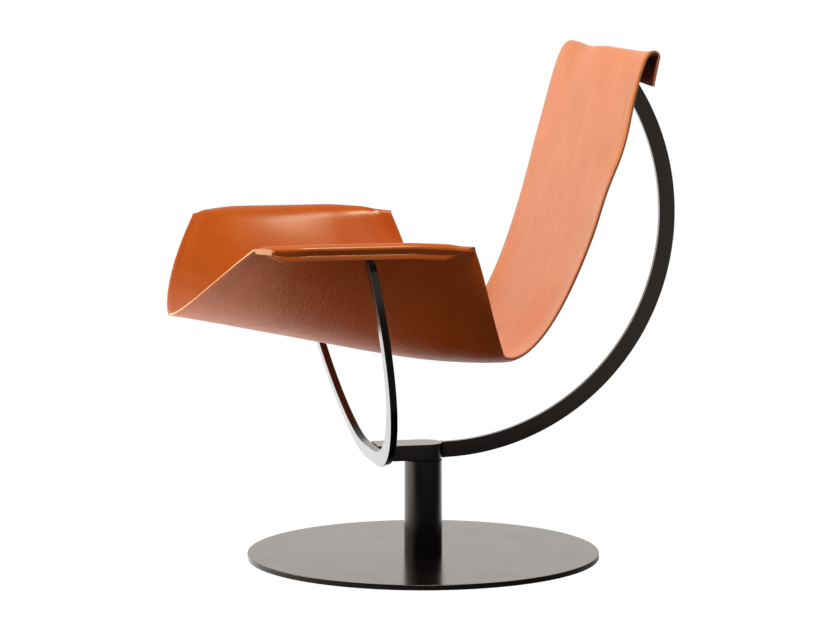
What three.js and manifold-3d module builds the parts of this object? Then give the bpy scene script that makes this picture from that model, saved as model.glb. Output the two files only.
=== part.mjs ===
// Leather sling lounge chair on a swivelling steel column.
// Millimetres, +Z up, floor at z = 0. Z is the swivel axis, the chair faces -Y and +X is the sitter's left.

import * as THREE from 'three';
import { mergeVertices } from 'three/addons/utils/BufferGeometryUtils.js';
import Module from 'manifold-3d';

const wasm = await Module();
wasm.setup();

// Clearances
const fitGap = 0.3;
const leatherGap = 0.7;

// Floor plate
const feltThickness = 1;
const feltInset = 8;
const plateRadius = 300;
const plateThickness = 9;
const plateChamfer = 1;

// Column
const columnRadius = 32.5;
const columnWall = 5;
const columnHeight = 159;
const footHeight = 30;
const footScrewCount = 3;
const footScrewCircle = 16;
const footScrewRadius = 4;
const footScrewHeadRadius = 8;
const footScrewLength = 24;

// Swivel bearing
const spindleRadius = 15;
const spindleSocketDepth = 18;
const spindleTail = 8;
const bushHeight = 30;
const lowerBushRise = 55;
const flangeThickness = 1.2;
const flangeInset = 1.5;
const thrustThickness = 1;
const washerThickness = 2;
const washerWidth = 7;
const clipThickness = 2;
const clipWidth = 4;
const clipGrooveDepth = 1.4;
const clipMouth = THREE.MathUtils.degToRad(50);

// Hub
const hubThickness = 26.5;
const hubReach = 81.6;
const hubCornerRadius = 8;
const hubBevel = 0.8;
const grubRadius = 3;
const grubLength = 5;

// Flat steel bar of the front hoop and the rear arc
const barWidth = 27;
const barThickness = 12;
const barBevel = 0.8;
const tenonDepth = 12;
const tenonHeight = 14;

// Front hoop
const hoopOuterRadius = 368;
const hoopFlatHalfLength = 40;
const hoopFlatInset = 7.5;
const hoopLean = THREE.MathUtils.degToRad(11.9);
const hoopDrop = 3.9;
const hoopTenonWidth = 28;
const tongueWidth = 7;

// Rear arc
const arcOuterRadius = 409.6;
const arcSpringY = 30.6;
const arcTipAngle = THREE.MathUtils.degToRad(42.69);
const arcTipTrimTilt = THREE.MathUtils.degToRad(26.6);
const arcTipTrimInset = 6.5;
const arcRootFlare = 4;
const arcRootLength = 10;

// Arm rods and crossbar
const rodRadius = 5;
const rodLength = 160;
const rodMiddleY = -180;
const rodHeight = 566.5;
const crossbarRadius = 6;
const crossbarLength = 160;
const crossbarInset = 6.35;
const frameScrewRadius = 1.5;
const frameScrewHeadRadius = 2.8;
const frameScrewSink = 0.8;
const frameScrewReach = 14;

// Leather sling
const leatherThickness = 4;
const lipY = -434;
const lipHeight = 428;
const seatRearY = 99;
const seatRearHeight = 352;
const seatNotchShare = 0.676;
const wallBulge = 8;
const armFrontY = -343;
const armRearY = 13;
const armFrontCurl = 51;
const armRearCurl = 27;
const armFrontDrop = 5.7;
const armRearDrop = 8.7;
const wallAngleFront = THREE.MathUtils.degToRad(35);
const wallAngleRear = THREE.MathUtils.degToRad(76);
const wrapEndAngle = THREE.MathUtils.degToRad(-5);
const pinchedWrapRadius = 3.2;
const hemLength = 19;
const pinchedHemShare = 0.25;
const backHalfWidth = 276;
const backFlare = 71;
const backTopHalfWidth = 264;
const flapLength = 47;
const flapEndAngle = THREE.MathUtils.degToRad(-10);
const flapSlotWidth = 16;

// Screws that hold the leather flap to the crossbar
const flapScrewSpacing = 110;
const flapScrewRadius = 2.5;
const flapScrewHeadRadius = 5;
const flapScrewHeadHeight = 2.8;
const flapScrewSocketRadius = 1.7;
const flapWasherRadius = 8;
const flapWasherThickness = 1.5;

// Facets
const roundFacets = 40;
const plateFacets = 96;
const smallFacets = 16;
const hoopFacets = 20;
const arcFacets = 44;

// Heights that follow from the sizes above
const plateTop = feltThickness + plateThickness;
const columnTop = plateTop + columnHeight;
const hubBottom = columnTop + flangeThickness + thrustThickness + fitGap;
const hubTop = hubBottom + hubThickness;
const hubMiddle = (hubBottom + hubTop) / 2;
const columnBore = columnRadius - columnWall;
const lowerBushBottom = plateTop + lowerBushRise;
const clipTop = lowerBushBottom - fitGap - washerThickness - fitGap;
const clipBottom = clipTop - clipThickness;

// Materials
const blackSteel = new THREE.MeshStandardMaterial({ color: 0x171513, roughness: 0.32, metalness: 0.6 });
const plainSteel = new THREE.MeshStandardMaterial({ color: 0x8d8f92, roughness: 0.4, metalness: 1 });
const bearingPlastic = new THREE.MeshStandardMaterial({ color: 0x1c1c1e, roughness: 0.6, metalness: 0 });
const darkFelt = new THREE.MeshStandardMaterial({ color: 0x26241f, roughness: 1, metalness: 0 });
const tanLeather = new THREE.MeshStandardMaterial({ color: 0xb5562a, roughness: 0.5, metalness: 0 });

// Closed solids and their joins and cuts
function toSolid(geometry) {
  const bare = geometry.clone();
  bare.deleteAttribute('normal');
  bare.deleteAttribute('uv');
  const merged = mergeVertices(bare, 1e-4);
  const vertProperties = Float32Array.from(merged.attributes.position.array);
  const triVerts = Uint32Array.from(merged.index.array);
  return new wasm.Manifold(new wasm.Mesh({ numProp: 3, vertProperties, triVerts }));
}

function toGeometry(solid) {
  const { vertProperties, triVerts } = solid.getMesh();
  const geometry = new THREE.BufferGeometry();
  geometry.setAttribute('position', new THREE.BufferAttribute(vertProperties, 3));
  geometry.setIndex(new THREE.BufferAttribute(triVerts, 1));
  return geometry;
}

function cut(body, ...tools) {
  const solid = tools.reduce((left, tool) => left.subtract(toSolid(tool)), toSolid(body));
  return toGeometry(solid);
}

function join(body, ...others) {
  const solid = others.reduce((sum, other) => sum.add(toSolid(other)), toSolid(body));
  return toGeometry(solid);
}

// A solid of revolution about Z from [radius, height] corners
function revolve(corners, facets) {
  const points = corners.map(([radius, height]) => new THREE.Vector2(radius, height));
  return new THREE.LatheGeometry(points, facets).rotateX(Math.PI / 2);
}

function rod(radius, length, facets) {
  return revolve([[0, 0], [radius, 0], [radius, length], [0, length]], facets);
}

function ring(innerRadius, outerRadius, bottom, top, facets) {
  const corners = [[innerRadius, bottom], [outerRadius, bottom], [outerRadius, top], [innerRadius, top]];
  return revolve([...corners, corners[0]], facets);
}

function extrude(shape, depth, bevel, curveSegments) {
  return new THREE.ExtrudeGeometry(shape, {
    depth: depth - 2 * bevel,
    bevelEnabled: bevel > 0,
    bevelThickness: bevel,
    bevelSize: bevel,
    bevelOffset: -bevel,
    bevelSegments: 1,
    curveSegments,
  }).translate(0, 0, bevel);
}

function block(width, depth, height) {
  return new THREE.BoxGeometry(width, depth, height);
}

function named(name, geometry, material, parent) {
  const mesh = new THREE.Mesh(geometry, material);
  mesh.name = name;
  parent.add(mesh);
  return mesh;
}

// A flat-head screw standing on its head, with its shank up
function flatHeadScrew(radius, headRadius, length, facets) {
  const coneHeight = headRadius - radius;
  return revolve([[0, 0], [headRadius, 0], [radius, coneHeight], [radius, length], [0, length]], facets);
}

// The hole for that screw, open for a little way above the head
function flatHeadHole(radius, headRadius, length, facets) {
  const shank = radius + fitGap;
  const mouth = headRadius + fitGap;
  const end = length + fitGap;
  const open = -headRadius;
  const neck = headRadius - radius;
  return revolve([[0, open], [mouth, open], [mouth, 0], [shank, neck], [shank, end], [0, end]], facets);
}

const chair = new THREE.Group();
const base = new THREE.Group();
const seat = new THREE.Group();
chair.add(base, seat);

// Floor plate with a felt underneath, and the screws that hold the column foot
function footScrewPlaces() {
  return Array.from({ length: footScrewCount }, (unused, index) => {
    const turn = (index / footScrewCount) * 2 * Math.PI + Math.PI / 2;
    return new THREE.Vector3(Math.cos(turn), Math.sin(turn), 0).multiplyScalar(footScrewCircle);
  });
}

function makeFloorPlate() {
  const bottom = feltThickness;
  const blank = revolve([
    [0, bottom],
    [plateRadius - plateChamfer, bottom],
    [plateRadius, bottom + plateChamfer],
    [plateRadius, plateTop - plateChamfer],
    [plateRadius - plateChamfer, plateTop],
    [0, plateTop],
  ], plateFacets);
  const hole = flatHeadHole(footScrewRadius, footScrewHeadRadius, footScrewLength, smallFacets)
    .translate(0, 0, feltThickness + fitGap);
  const holes = footScrewPlaces().map((place) => hole.clone().translate(place.x, place.y, 0));
  named('floor_felt', rod(plateRadius - feltInset, feltThickness, plateFacets), darkFelt, base);
  named('base_plate', cut(blank, ...holes), blackSteel, base);
}

function makeColumn() {
  const tube = ring(columnBore, columnRadius, plateTop, columnTop, roundFacets);
  named('column_tube', toGeometry(toSolid(tube)), blackSteel, base);

  const places = footScrewPlaces();
  const foot = rod(columnBore - fitGap, footHeight, roundFacets).translate(0, 0, plateTop);
  const holes = places.map((place) => rod(footScrewRadius + fitGap, footScrewLength + fitGap, smallFacets)
    .translate(place.x, place.y, feltThickness + fitGap));
  named('column_foot', cut(foot, ...holes), plainSteel, base);

  places.forEach((place, index) => {
    const screw = flatHeadScrew(footScrewRadius, footScrewHeadRadius, footScrewLength, smallFacets);
    const mesh = named(`column_screw_${index + 1}`, screw, plainSteel, base);
    mesh.position.set(place.x, place.y, feltThickness + fitGap);
  });
}

// Two plain bushes in the column, a thrust washer on top, and a spindle held from below by a clip
function makeSwivelBearing() {
  const bushBore = spindleRadius + fitGap;
  const bushOutside = columnBore - fitGap;
  const flangeRadius = columnRadius - flangeInset;
  const flangeTop = columnTop + flangeThickness;
  const bushCorners = [
    [bushBore, columnTop - bushHeight],
    [bushOutside, columnTop - bushHeight],
    [bushOutside, columnTop],
    [flangeRadius, columnTop],
    [flangeRadius, flangeTop],
    [bushBore, flangeTop],
  ];
  named('upper_bush', revolve([...bushCorners, bushCorners[0]], roundFacets), bearingPlastic, base);
  const lowerBush = ring(bushBore, bushOutside, lowerBushBottom, lowerBushBottom + bushHeight, roundFacets);
  named('lower_bush', lowerBush, bearingPlastic, base);
  const thrustWasher = ring(bushBore, flangeRadius, flangeTop, flangeTop + thrustThickness, roundFacets);
  named('thrust_washer', thrustWasher, bearingPlastic, base);

  const grooveRadius = spindleRadius - clipGrooveDepth;
  const spindle = revolve([
    [0, clipBottom - fitGap - spindleTail],
    [spindleRadius, clipBottom - fitGap - spindleTail],
    [spindleRadius, clipBottom - fitGap],
    [grooveRadius, clipBottom - fitGap],
    [grooveRadius, clipTop + fitGap],
    [spindleRadius, clipTop + fitGap],
    [spindleRadius, hubBottom + spindleSocketDepth],
    [0, hubBottom + spindleSocketDepth],
  ], roundFacets);
  named('spindle', spindle, plainSteel, seat);

  const washer = ring(bushBore, bushBore + washerWidth, 0, washerThickness, roundFacets);
  named('spindle_washer', washer, plainSteel, seat).position.set(0, 0, clipTop + fitGap);

  const clipInside = grooveRadius + fitGap;
  const clipShape = new THREE.Shape();
  clipShape.absarc(0, 0, clipInside + clipWidth, clipMouth / 2, 2 * Math.PI - clipMouth / 2, false);
  clipShape.absarc(0, 0, clipInside, 2 * Math.PI - clipMouth / 2, clipMouth / 2, true);
  named('spindle_circlip', extrude(clipShape, clipThickness, 0, smallFacets), plainSteel, seat)
    .position.set(0, 0, clipBottom);
}

// The hoop's own frame: x across, y from its front face to its back face, z up its leaning plane
const hoopCentreZ = hubBottom - hoopDrop + (hoopOuterRadius - hoopFlatInset) * Math.cos(hoopLean);
const hoopFaceAtHub = -hubReach - barThickness / Math.cos(hoopLean);
const hoopCentreY = hoopFaceAtHub - (hoopCentreZ - hubMiddle) * Math.tan(hoopLean);
const hoopFrame = new THREE.Matrix4()
  .makeRotationX(hoopLean)
  .setPosition(0, hoopCentreY, hoopCentreZ);
const hubMiddleInHoop = (hubMiddle - hoopCentreZ) / Math.cos(hoopLean);

// The arc's centre and the crossbar's axis in the plane x = 0
const arcCentre = new THREE.Vector3(0, arcSpringY, hubBottom + arcOuterRadius);
const arcOutward = new THREE.Vector3(0, Math.cos(arcTipAngle), Math.sin(arcTipAngle));
const crossbarAxis = arcCentre.clone().addScaledVector(arcOutward, arcOuterRadius - crossbarInset);

// Arm rods run along Y above the ends of the hoop
const rodX = hoopOuterRadius - barWidth / 2;
const legMiddleY = hoopCentreY - (rodHeight - hoopCentreZ) * Math.tan(hoopLean)
  + barThickness / 2 / Math.cos(hoopLean);
const wrapRadius = rodRadius + leatherGap + leatherThickness / 2;
const hemBottom = rodHeight + wrapRadius * Math.sin(wrapEndAngle) - hemLength * Math.cos(wrapEndAngle);

function hoopTenon(gap) {
  const width = hoopTenonWidth + 2 * gap;
  const depth = tenonDepth + gap;
  const height = tenonHeight + 2 * gap;
  return block(width, depth, height).translate(0, barThickness + depth / 2, hubMiddleInHoop);
}

function arcTenon(gap) {
  const width = barThickness + 2 * gap;
  const height = tenonHeight + 2 * gap;
  const front = columnRadius - tenonDepth - gap;
  const rear = columnRadius + arcRootLength / 2;
  return block(width, rear - front, height).translate(0, (front + rear) / 2, hubMiddle);
}

function hoopGrubY() {
  return -(hubReach - tenonDepth / 2);
}

function arcGrubY() {
  return columnRadius - tenonDepth / 2;
}

// Hub: a thick plate with a round rear end over the column and a slanted front face against the hoop
function makeHub() {
  const cornerX = columnRadius - hubCornerRadius;
  const cornerY = -hubReach + hubCornerRadius / 2;
  const outline = new THREE.Shape();
  outline.absarc(0, 0, columnRadius, 0, Math.PI, false);
  outline.absarc(-cornerX, cornerY, hubCornerRadius, Math.PI, 1.5 * Math.PI, false);
  outline.absarc(cornerX, cornerY, hubCornerRadius, 1.5 * Math.PI, 2 * Math.PI, false);
  const blank = extrude(outline, hubThickness, hubBevel, roundFacets / 2).translate(0, 0, hubBottom);

  const hoopSide = block(2 * columnRadius + 2 * hubCornerRadius, barThickness + fitGap, 4 * barWidth)
    .translate(0, (barThickness + fitGap) / 2, hubMiddleInHoop)
    .applyMatrix4(hoopFrame);
  const socket = rod(spindleRadius + fitGap, spindleSocketDepth + 2 * fitGap, roundFacets)
    .translate(0, 0, hubBottom - fitGap);
  const grubHole = rod(grubRadius + fitGap, hubThickness / 2, smallFacets).translate(0, 0, hubBottom - fitGap);
  const hub = cut(
    blank,
    hoopSide,
    socket,
    hoopTenon(fitGap).applyMatrix4(hoopFrame),
    arcTenon(fitGap),
    grubHole.clone().translate(0, hoopGrubY(), 0),
    grubHole.clone().translate(0, arcGrubY(), 0),
  );
  named('hub', hub, blackSteel, seat);

  const grub = rod(grubRadius, grubLength, smallFacets);
  named('hoop_grub_screw', grub, plainSteel, seat).position.set(0, hoopGrubY(), hubBottom);
  named('arc_grub_screw', grub.clone(), plainSteel, seat).position.set(0, arcGrubY(), hubBottom);
}

// The hoop's edge is a circle with a flat at the bottom. An arc on each side of the flat runs into the circle.
function hoopEdge(outline, inset, end, forward) {
  const flatDepth = hoopOuterRadius - hoopFlatInset;
  const blendRadius = (hoopOuterRadius ** 2 - flatDepth ** 2 - hoopFlatHalfLength ** 2) / (2 * hoopFlatInset);
  const blendZ = blendRadius - flatDepth;
  const turn = Math.atan2(hoopFlatHalfLength, -blendZ);
  const bottom = 1.5 * Math.PI;
  const arcs = [
    [0, 0, hoopOuterRadius, Math.PI - end, bottom - turn],
    [-hoopFlatHalfLength, blendZ, blendRadius, bottom - turn, bottom],
    [hoopFlatHalfLength, blendZ, blendRadius, bottom, bottom + turn],
    [0, 0, hoopOuterRadius, bottom + turn, 2 * Math.PI + end],
  ];
  const ordered = forward ? arcs : arcs.reverse();
  ordered.forEach(([x, z, radius, from, to]) => {
    const [first, last] = forward ? [from, to] : [to, from];
    outline.absarc(x, z, radius - inset, first, last, !forward);
  });
}

// Front hoop: a leaning ring of flat bar, with a tongue on each leg that carries an arm rod
function makeFrontHoop() {
  const innerRadius = hoopOuterRadius - barWidth;
  const shoulderHeight = hemBottom - 1 - barThickness * Math.sin(hoopLean);
  const shoulder = (shoulderHeight - hoopCentreZ) / Math.cos(hoopLean);
  const outerEnd = Math.asin(shoulder / hoopOuterRadius);
  const innerEnd = Math.asin(shoulder / innerRadius);
  const tongueTop = (rodHeight - hoopCentreZ) / Math.cos(hoopLean);
  const outline = new THREE.Shape();
  hoopEdge(outline, 0, outerEnd, true);
  outline.lineTo(rodX + tongueWidth / 2, shoulder);
  outline.lineTo(rodX + tongueWidth / 2, tongueTop);
  outline.lineTo(rodX - tongueWidth / 2, tongueTop);
  outline.lineTo(rodX - tongueWidth / 2, shoulder);
  hoopEdge(outline, barWidth, innerEnd, false);
  outline.lineTo(-rodX + tongueWidth / 2, shoulder);
  outline.lineTo(-rodX + tongueWidth / 2, tongueTop);
  outline.lineTo(-rodX - tongueWidth / 2, tongueTop);
  outline.lineTo(-rodX - tongueWidth / 2, shoulder);
  const bar = extrude(outline, barThickness, barBevel, hoopFacets)
    .rotateX(Math.PI / 2)
    .translate(0, barThickness, 0);
  const hoop = join(bar, hoopTenon(0)).applyMatrix4(hoopFrame);
  const seats = [1, -1].flatMap((side) => [
    armRod(rodRadius + fitGap, rodLength).translate(side * rodX, rodMiddleY, rodHeight),
    frameScrewHole(rodRadius).translate(side * rodX, legMiddleY, rodHeight),
  ]);
  named('front_hoop', cut(hoop, ...seats), blackSteel, seat);
}

function armRod(radius, length) {
  return rod(radius, length, smallFacets).translate(0, 0, -length / 2).rotateX(Math.PI / 2);
}

// A screw down through a round bar whose axis is at z = 0, and its hole
function frameScrew(barRadius) {
  const length = 2 * barRadius + frameScrewReach;
  return flatHeadScrew(frameScrewRadius, frameScrewHeadRadius, length, smallFacets)
    .rotateX(Math.PI)
    .translate(0, 0, barRadius - frameScrewSink);
}

function frameScrewHole(barRadius) {
  const length = 2 * barRadius + frameScrewReach;
  return flatHeadHole(frameScrewRadius, frameScrewHeadRadius, length, smallFacets)
    .rotateX(Math.PI)
    .translate(0, 0, barRadius - frameScrewSink);
}

function makeArmRods() {
  [['left', 1], ['right', -1]].forEach(([label, side]) => {
    const hole = frameScrewHole(rodRadius).translate(0, legMiddleY - rodMiddleY, 0);
    const drilled = cut(armRod(rodRadius, rodLength), hole);
    named(`arm_rod_${label}`, drilled, blackSteel, seat).position.set(side * rodX, rodMiddleY, rodHeight);
    named(`arm_rod_screw_${label}`, frameScrew(rodRadius), plainSteel, seat)
      .position.set(side * rodX, legMiddleY, rodHeight);
  });
}

// A turned frame on the crossbar's axis whose -Z runs down the arc from its tip
const tipFrame = new THREE.Matrix4().makeRotationX(arcTipAngle).setPosition(crossbarAxis);

function crossbarScrewHole() {
  return frameScrewHole(crossbarRadius).applyMatrix4(tipFrame);
}

function flapScrewPlaces() {
  return [['left', flapScrewSpacing / 2], ['right', -flapScrewSpacing / 2]];
}

function flapScrewShank(radius, length) {
  return rod(radius, length, smallFacets).rotateX(Math.PI / 2);
}

// Rear arc: an upright circular bar from the hub to the crossbar, flared where it meets the hub
function makeRearArc() {
  const innerRadius = arcOuterRadius - barWidth;
  const start = -Math.PI / 2;
  const outline = new THREE.Shape();
  outline.absarc(0, 0, arcOuterRadius, start, arcTipAngle, false);
  outline.absarc(0, 0, innerRadius, arcTipAngle, start, true);
  const bar = extrude(outline, barThickness, barBevel, arcFacets)
    .rotateX(Math.PI / 2)
    .rotateZ(Math.PI / 2)
    .translate(-barThickness / 2, arcCentre.y, arcCentre.z);

  const rootY = columnRadius;
  const flare = new THREE.Shape();
  flare.moveTo(-barThickness / 2 - arcRootFlare, rootY - arcRootFlare);
  flare.lineTo(barThickness / 2 + arcRootFlare, rootY - arcRootFlare);
  flare.quadraticCurveTo(barThickness / 2, rootY, barThickness / 2 - fitGap, rootY + arcRootLength);
  flare.lineTo(-barThickness / 2 + fitGap, rootY + arcRootLength);
  flare.quadraticCurveTo(-barThickness / 2, rootY, -barThickness / 2 - arcRootFlare, rootY - arcRootFlare);
  const root = extrude(flare, hubThickness - 2 * hubBevel, 0, 6).translate(0, 0, hubBottom + hubBevel);

  const hubSide = rod(columnRadius + fitGap, 3 * hubThickness, roundFacets * 2)
    .translate(0, 0, hubBottom - hubThickness);
  const trimDepth = 2 * barWidth;
  const tipTrim = block(2 * barThickness, trimDepth, 3 * barWidth)
    .translate(0, -arcTipTrimInset - trimDepth / 2, 0)
    .rotateX(-arcTipTrimTilt)
    .translate(0, crossbarAxis.y, crossbarAxis.z);
  const cradle = crossbar(crossbarRadius + fitGap).translate(0, crossbarAxis.y, crossbarAxis.z);
  const body = cut(join(bar, root), hubSide);
  named('rear_arc', cut(join(body, arcTenon(0)), tipTrim, cradle, crossbarScrewHole()), blackSteel, seat);
}

function crossbar(radius) {
  return rod(radius, crossbarLength, smallFacets + 4)
    .translate(0, 0, -crossbarLength / 2)
    .rotateY(Math.PI / 2);
}

function makeCrossbar() {
  const blank = crossbar(crossbarRadius).translate(0, crossbarAxis.y, crossbarAxis.z);
  const holes = flapScrewPlaces().map(([, x]) => flapScrewShank(flapScrewRadius + fitGap, 3 * crossbarRadius)
    .translate(x, crossbarAxis.y + 2 * crossbarRadius, crossbarAxis.z));
  named('crossbar', cut(blank, crossbarScrewHole(), ...holes), blackSteel, seat);

  named('crossbar_screw', frameScrew(crossbarRadius).applyMatrix4(tipFrame), plainSteel, seat);
}

// Leather sling: one sheet that makes the trough of the seat, its two arm sleeves and the back
const notchSteps = 5;
const wingSteps = 3;
const seatWrapSteps = 6;
const sleeveRows = 5;
const pinchRows = 3;
const backRows = 8;
const browRows = 5;
const foldRows = 4;
const backWrapRadius = crossbarRadius + leatherGap + leatherThickness / 2;

const seatSpine = new THREE.CubicBezierCurve(
  new THREE.Vector2(lipY, lipHeight),
  new THREE.Vector2(lipY + 278, lipHeight - 44),
  new THREE.Vector2(seatRearY - 178, seatRearHeight - 9),
  new THREE.Vector2(seatRearY, seatRearHeight),
);

function mix(from, to, share) {
  return THREE.MathUtils.lerp(from, to, share);
}

// One half section of the seat, from its middle line up the wall, over the arm rod and down the hem
function seatSection(armY) {
  const along = (armY - armFrontY) / (armRearY - armFrontY);
  const sleeveFront = rodMiddleY - rodLength / 2 - leatherThickness / 2;
  const sleeveRear = rodMiddleY + rodLength / 2 + leatherThickness / 2;
  const frontPinch = Math.max(0, (sleeveFront - armY) / (sleeveFront - armFrontY));
  const rearPinch = Math.max(0, (armY - sleeveRear) / (armRearY - sleeveRear));
  const pinch = Math.max(frontPinch, rearPinch);
  const centreX = rodX - armFrontCurl * frontPinch ** 2 - armRearCurl * rearPinch ** 2;
  const centreZ = rodHeight - armFrontDrop * frontPinch ** 2 - armRearDrop * rearPinch ** 2;
  const radius = mix(wrapRadius, pinchedWrapRadius, pinch);
  const wallAngle = mix(wallAngleFront, wallAngleRear, along);
  const wallX = centreX - radius * Math.sin(wallAngle);
  const wallZ = centreZ + radius * Math.cos(wallAngle);
  const middle = seatSpine.getPoint(along);
  const steepness = Math.tan(wallAngle) * wallX / (wallZ - middle.y);

  const points = [];
  for (let step = 0; step <= notchSteps + wingSteps; step += 1) {
    const across = step <= notchSteps
      ? seatNotchShare * step / notchSteps
      : mix(seatNotchShare, 1, (step - notchSteps) / wingSteps);
    const rise = across ** steepness;
    const bulge = wallBulge * rise * (1 - rise) * mix(4, 6.75 * (1 - rise), along);
    points.push(new THREE.Vector3(
      across * wallX,
      mix(middle.x, armY, rise) - bulge,
      mix(middle.y, wallZ, rise),
    ));
  }
  for (let step = 1; step <= seatWrapSteps; step += 1) {
    const angle = mix(Math.PI / 2 + wallAngle, wrapEndAngle, step / seatWrapSteps);
    const x = centreX + radius * Math.cos(angle);
    const z = centreZ + radius * Math.sin(angle);
    points.push(new THREE.Vector3(x, armY, z));
  }
  const hem = hemLength * mix(1, pinchedHemShare, pinch);
  const last = points[points.length - 1];
  points.push(new THREE.Vector3(
    last.x + hem * Math.sin(wrapEndAngle),
    armY,
    last.z - hem * Math.cos(wrapEndAngle),
  ));
  return points;
}

function seatRowPlaces() {
  const sleeveFront = rodMiddleY - rodLength / 2 - leatherThickness / 2;
  const sleeveRear = rodMiddleY + rodLength / 2 + leatherThickness / 2;
  const places = [];
  for (let row = 0; row < pinchRows; row += 1) {
    places.push(mix(armFrontY, sleeveFront, row / pinchRows));
  }
  for (let row = 0; row < sleeveRows; row += 1) {
    places.push(mix(sleeveFront, sleeveRear, row / sleeveRows));
  }
  for (let row = 0; row <= pinchRows; row += 1) {
    places.push(mix(sleeveRear, armRearY, row / pinchRows));
  }
  return places;
}

// The back's side profile as [y, z] points with their tangents, from the seat to the end of the flap
function backProfile() {
  const brow = new THREE.Vector2(crossbarAxis.y - 31, crossbarAxis.z - 52);
  const crest = new THREE.Vector2(crossbarAxis.y, crossbarAxis.z + backWrapRadius);
  const lean = new THREE.Vector2(0.27, 0.963);
  const rise = new THREE.CubicBezierCurve(
    new THREE.Vector2(seatRearY, seatRearHeight),
    new THREE.Vector2(seatRearY + 86, seatRearHeight + 5),
    brow.clone().addScaledVector(lean, -180),
    brow,
  );
  const bend = new THREE.CubicBezierCurve(
    brow,
    brow.clone().addScaledVector(lean, 37),
    crest.clone().add(new THREE.Vector2(-14, 0)),
    crest,
  );
  const profile = [];
  for (let step = 1; step <= backRows; step += 1) {
    profile.push([rise.getPoint(step / backRows), rise.getTangent(step / backRows)]);
  }
  for (let step = 1; step <= browRows; step += 1) {
    profile.push([bend.getPoint(step / browRows), bend.getTangent(step / browRows)]);
  }
  for (let step = 1; step <= foldRows; step += 1) {
    const angle = mix(Math.PI / 2, flapEndAngle, step / foldRows);
    const place = new THREE.Vector2(Math.cos(angle), Math.sin(angle)).multiplyScalar(backWrapRadius);
    const tangent = new THREE.Vector2(Math.sin(angle), -Math.cos(angle));
    profile.push([place.add(new THREE.Vector2(crossbarAxis.y, crossbarAxis.z)), tangent]);
  }
  const [flapTop, flapTangent] = profile[profile.length - 1];
  profile.push([flapTop.clone().addScaledVector(flapTangent, flapLength), flapTangent]);
  return profile;
}

// A closed sheet of even thickness from a surface of points and quads
function thickSheet(points, quads, thickness) {
  const normals = points.map(() => new THREE.Vector3());
  quads.forEach((quad) => {
    const [a, b, c, d] = quad.map((index) => points[index]);
    const normal = new THREE.Vector3().crossVectors(c.clone().sub(a), d.clone().sub(b));
    quad.forEach((index) => normals[index].add(normal));
  });
  const count = points.length;
  const position = new Float32Array(count * 6);
  points.forEach((point, index) => {
    const offset = normals[index].normalize().multiplyScalar(thickness / 2);
    point.clone().add(offset).toArray(position, index * 3);
    point.clone().sub(offset).toArray(position, (count + index) * 3);
  });
  const edges = new Set();
  quads.forEach((quad) => quad.forEach((from, side) => edges.add(`${from},${quad[(side + 1) % 4]}`)));
  const triangles = [];
  quads.forEach(([a, b, c, d]) => {
    triangles.push(a, b, c, a, c, d);
    triangles.push(count + c, count + b, count + a, count + d, count + c, count + a);
  });
  edges.forEach((edge) => {
    const [from, to] = edge.split(',').map(Number);
    if (!edges.has(`${to},${from}`)) {
      triangles.push(to, from, count + from, to, count + from, count + to);
    }
  });
  const geometry = new THREE.BufferGeometry();
  geometry.setAttribute('position', new THREE.BufferAttribute(position, 3));
  geometry.setIndex(triangles);
  return geometry;
}

function makeLeatherSling() {
  const points = [];
  const quads = [];

  function addRow(half) {
    const left = half.slice(1).reverse().map((point) => new THREE.Vector3(-point.x, point.y, point.z));
    const first = points.length;
    points.push(...left, ...half);
    return Array.from({ length: 2 * half.length - 1 }, (unused, index) => first + index);
  }

  function addQuads(row, next) {
    for (let column = 0; column + 1 < row.length; column += 1) {
      quads.push([row[column], row[column + 1], next[column + 1], next[column]]);
    }
  }

  const sections = seatRowPlaces().map(seatSection);
  const seatRows = sections.map(addRow);
  for (let row = 0; row + 1 < seatRows.length; row += 1) {
    addQuads(seatRows[row], seatRows[row + 1]);
  }

  const rearSection = sections[sections.length - 1].slice(0, notchSteps + 1);
  const middle = rearSection[0];
  const lastSeatRow = seatRows[seatRows.length - 1];
  const half = (lastSeatRow.length - 1) / 2;
  let row = lastSeatRow.slice(half - notchSteps, half + notchSteps + 1);
  const profile = backProfile();
  profile.forEach(([place, tangent], index) => {
    const climb = Math.min(1, (index + 1) / backRows);
    const flatten = (1 - climb) ** 2;
    const flared = Math.min(backHalfWidth, rearSection[notchSteps].x + backFlare * climb * mix(0.42, 1, climb));
    const crest = THREE.MathUtils.clamp((index + 1 - backRows) / browRows, 0, 1);
    const halfWidth = mix(flared, backTopHalfWidth, crest);
    const section = rearSection.map((point, step) => {
      const along = (point.y - middle.y) * flatten;
      const up = (point.z - middle.z) * flatten;
      return new THREE.Vector3(
        halfWidth * step / notchSteps,
        place.x + along * tangent.x - up * tangent.y,
        place.y + along * tangent.y + up * tangent.x,
      );
    });
    const next = addRow(section);
    addQuads(row, next);
    row = next;
  });

  const slot = block(flapSlotWidth, 6 * leatherThickness, 2 * flapLength)
    .translate(0, 3.5 * leatherThickness, leatherThickness - flapLength)
    .rotateX(flapEndAngle)
    .translate(0, crossbarAxis.y, crossbarAxis.z);
  const holes = flapScrewPlaces().map(([, x]) => flapScrewShank(flapScrewRadius + fitGap, 4 * crossbarRadius)
    .translate(x, crossbarAxis.y + 4 * crossbarRadius, crossbarAxis.z));
  const sheet = thickSheet(points, quads, leatherThickness);
  named('leather_sling', cut(sheet, slot, ...holes), tanLeather, seat);
}

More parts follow.
